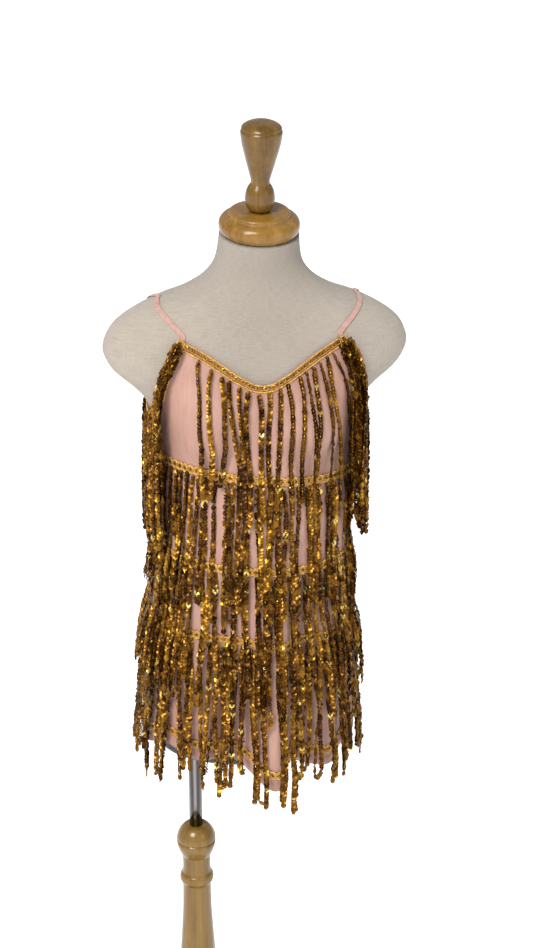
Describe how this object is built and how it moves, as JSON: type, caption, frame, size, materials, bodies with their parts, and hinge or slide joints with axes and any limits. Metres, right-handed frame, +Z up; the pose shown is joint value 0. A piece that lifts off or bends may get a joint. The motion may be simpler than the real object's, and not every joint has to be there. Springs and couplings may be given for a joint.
{
  "type": "flapper dress on a dress form",
  "caption": "Sleeveless stretch mini dress with a V neck, thin straps and rows of looped sequin fringe, worn by a limbless dress form on a turned wooden stand.",
  "frame": {"origin": "centre of the stand base's underside, on the pole's axis", "axes": "+Z up along the pole; the front of the dress faces -Y, turned 7 degrees towards +X; +X is to the right of someone who faces the front"},
  "size_m": [0.4669, 0.36, 1.4187],
  "materials": {
    "pink_satin_knit": "smooth stretch knit with a soft satin sheen",
    "gold_sequin_fringe": "metallic gold sequins on thread",
    "gold_braid": "corded metallic braid",
    "linen_cover": "plain woven linen",
    "varnished_wood": "clear gloss varnish",
    "chromed_steel": "polished"
  },
  "bodies": {
    "root": {"dress_front": "pink_satin_knit", "dress_back": "pink_satin_knit", "strap_left": "pink_satin_knit", "strap_right": "pink_satin_knit", "trim_neck_front": "gold_sequin_fringe", "trim_neck_back": "gold_sequin_fringe", "trim_armhole_left": "gold_sequin_fringe", "trim_armhole_right": "gold_sequin_fringe", "fringe_chest": "gold_sequin_fringe", "fringe_waist": "gold_sequin_fringe", "fringe_hip": "gold_sequin_fringe", "trim_hem": "gold_braid", "form_torso": "linen_cover", "neck_cap": "varnished_wood", "finial": "varnished_wood", "stand_post": "varnished_wood", "stand_base": "varnished_wood", "pole": "chromed_steel"}
  },
  "joints": []
}
